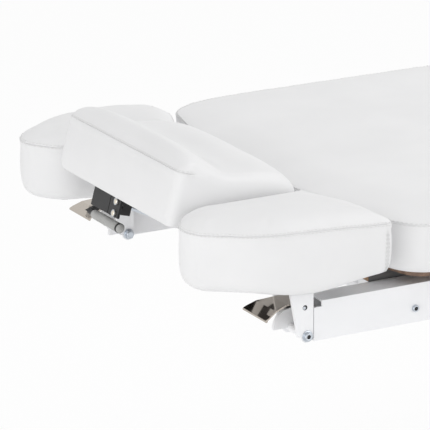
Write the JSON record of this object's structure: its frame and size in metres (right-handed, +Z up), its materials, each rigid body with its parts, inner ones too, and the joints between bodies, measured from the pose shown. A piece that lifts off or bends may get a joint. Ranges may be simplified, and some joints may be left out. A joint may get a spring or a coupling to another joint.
{
  "type": "electric spa table",
  "caption": "Padded spa and massage table on electric lift columns, with a motorised backrest, a tilting contoured head cushion and drop-down arm pads with release paddles.",
  "frame": {"origin": "on the floor under the middle of the table", "axes": "+X from the head end to the foot end, +Y to the side with the head release, +Z up"},
  "size_m": [1.9591, 0.75, 0.7968],
  "materials": {
    "white_upholstery": "soft satin",
    "white_paint": "powder coat",
    "dark_wood": "stained plywood",
    "black_paint": "satin",
    "black_plastic": "matt",
    "chrome": "polished",
    "zinc": "zinc plated",
    "grey_rubber": "ribbed",
    "black_rubber": "matt",
    "grey_paint": "satin"
  },
  "bodies": {
    "base": {"base_foot_beams": "white_paint", "base_end_caps": "black_plastic", "base_spine": "white_paint", "levelling_feet": "black_rubber", "lift_column_outers": "white_paint", "column_base_plates": "white_paint", "column_glide_collars": "black_plastic"},
    "carriage": {"lift_column_inners": "white_paint", "column_top_plates": "white_paint", "carriage_tubes": "white_paint", "carriage_cross_tubes": "white_paint", "backrest_buffers": "black_rubber", "seat_rails": "white_paint", "seat_rail_caps": "black_plastic", "seat_cross_tubes": "white_paint", "seat_cushion": "white_upholstery", "seat_board": "dark_wood", "seat_battens": "dark_wood", "backrest_hinge_lugs": "white_paint", "control_box": "black_plastic", "mains_inlet": "black_plastic"},
    "backrest": {"backrest_rail_left": "white_paint", "backrest_rail_right": "white_paint", "backrest_cross_tubes": "white_paint", "backrest_cushion": "white_upholstery", "backrest_board": "dark_wood", "backrest_battens": "dark_wood", "backrest_hinge_plates": "white_paint", "arm_tongues": "white_paint", "rail_screws": "zinc"},
    "actuator_body": {"actuator_housing": "black_plastic"},
    "actuator_ram": {"actuator_rod": "zinc"},
    "head": {"head_cushion": "white_upholstery", "head_board": "dark_wood", "head_hinge_arms": "black_paint", "head_release_housing": "black_paint", "head_release_plate": "black_paint", "head_release_fasteners": "zinc"},
    "head_handle": {"head_lever": "black_paint", "head_lever_grip": "grey_rubber"},
    "gas_body": {"gas_spring_cylinder": "black_paint"},
    "gas_ram": {"gas_spring_rod": "zinc"},
    "arm_left": {"arm_cushion_left": "white_upholstery", "arm_board_left": "dark_wood", "arm_bracket_left": "white_paint", "arm_fasteners_left": "zinc"},
    "paddle_left": {"release_paddle_left": "chrome", "brake_lining_left": "black_rubber"},
    "arm_right": {"arm_cushion_right": "white_upholstery", "arm_board_right": "dark_wood", "arm_bracket_right": "white_paint", "arm_fasteners_right": "zinc"},
    "paddle_right": {"release_paddle_right": "chrome", "brake_lining_right": "black_rubber"}
  },
  "joints": [
    {"name": "lift", "type": "slide", "parent": "base", "child": "carriage", "axis": [0, 0, 1], "range_m": [-0.03, 0.25]},
    {"name": "backrest_tilt", "type": "hinge", "parent": "carriage", "child": "backrest", "pos_m": [-0.115, 0, 0.697], "axis": [0, 1, 0], "range_deg": [0, 60]},
    {"name": "actuator_swing", "type": "hinge", "parent": "carriage", "child": "actuator_body", "pos_m": [0.031, 0, 0.497], "axis": [0, 1, 0], "range_deg": [0, 30.01]},
    {"name": "actuator_stroke", "type": "slide", "parent": "actuator_body", "child": "actuator_ram", "axis": [-0.9978, 0, 0.0661], "range_m": [0, 0.14784]},
    {"name": "head_tilt", "type": "hinge", "parent": "backrest", "child": "head", "pos_m": [-0.74, 0, 0.622], "axis": [0, 1, 0], "range_deg": [-40, 0]},
    {"name": "gas_spring_swing", "type": "hinge", "parent": "backrest", "child": "gas_body", "pos_m": [-0.5999, 0.094, 0.515], "axis": [0, 1, 0], "range_deg": [-20.01, 0]},
    {"name": "gas_spring_stroke", "type": "slide", "parent": "gas_body", "child": "gas_ram", "axis": [-0.907, 0, 0.4212], "range_m": [-0.04728, 0]},
    {"name": "head_release", "type": "hinge", "parent": "head", "child": "head_handle", "pos_m": [-0.89752, 0.125, 0.6455], "axis": [0, 1, 0], "range_deg": [-15, 0], "stiffness_Nm_per_rad": 1.5, "springref_deg": 5.73},
    {"name": "arm_left_drop", "type": "hinge", "parent": "backrest", "child": "arm_left", "pos_m": [-0.799, 0.278, 0.546], "axis": [0, 1, 0], "range_deg": [-40, 0]},
    {"name": "paddle_left_lift", "type": "hinge", "parent": "arm_left", "child": "paddle_left", "pos_m": [-0.803, 0.278, 0.59], "axis": [0, 1, 0], "range_deg": [0, 14], "stiffness_Nm_per_rad": 1.5, "springref_deg": -8.59},
    {"name": "arm_right_drop", "type": "hinge", "parent": "backrest", "child": "arm_right", "pos_m": [-0.799, -0.278, 0.546], "axis": [0, 1, 0], "range_deg": [-40, 0]},
    {"name": "paddle_right_lift", "type": "hinge", "parent": "arm_right", "child": "paddle_right", "pos_m": [-0.803, -0.278, 0.59], "axis": [0, 1, 0], "range_deg": [0, 14], "stiffness_Nm_per_rad": 1.5, "springref_deg": -8.59}
  ],
  "couplings": [
    {"joint": "actuator_swing", "follows": "backrest_tilt", "ratio": 0.5},
    {"joint": "actuator_stroke", "follows": "backrest_tilt", "m_per_rad": 0.1407},
    {"joint": "gas_spring_swing", "follows": "head_tilt", "ratio": 0.5},
    {"joint": "gas_spring_stroke", "follows": "head_tilt", "m_per_rad": 0.06701}
  ]
}
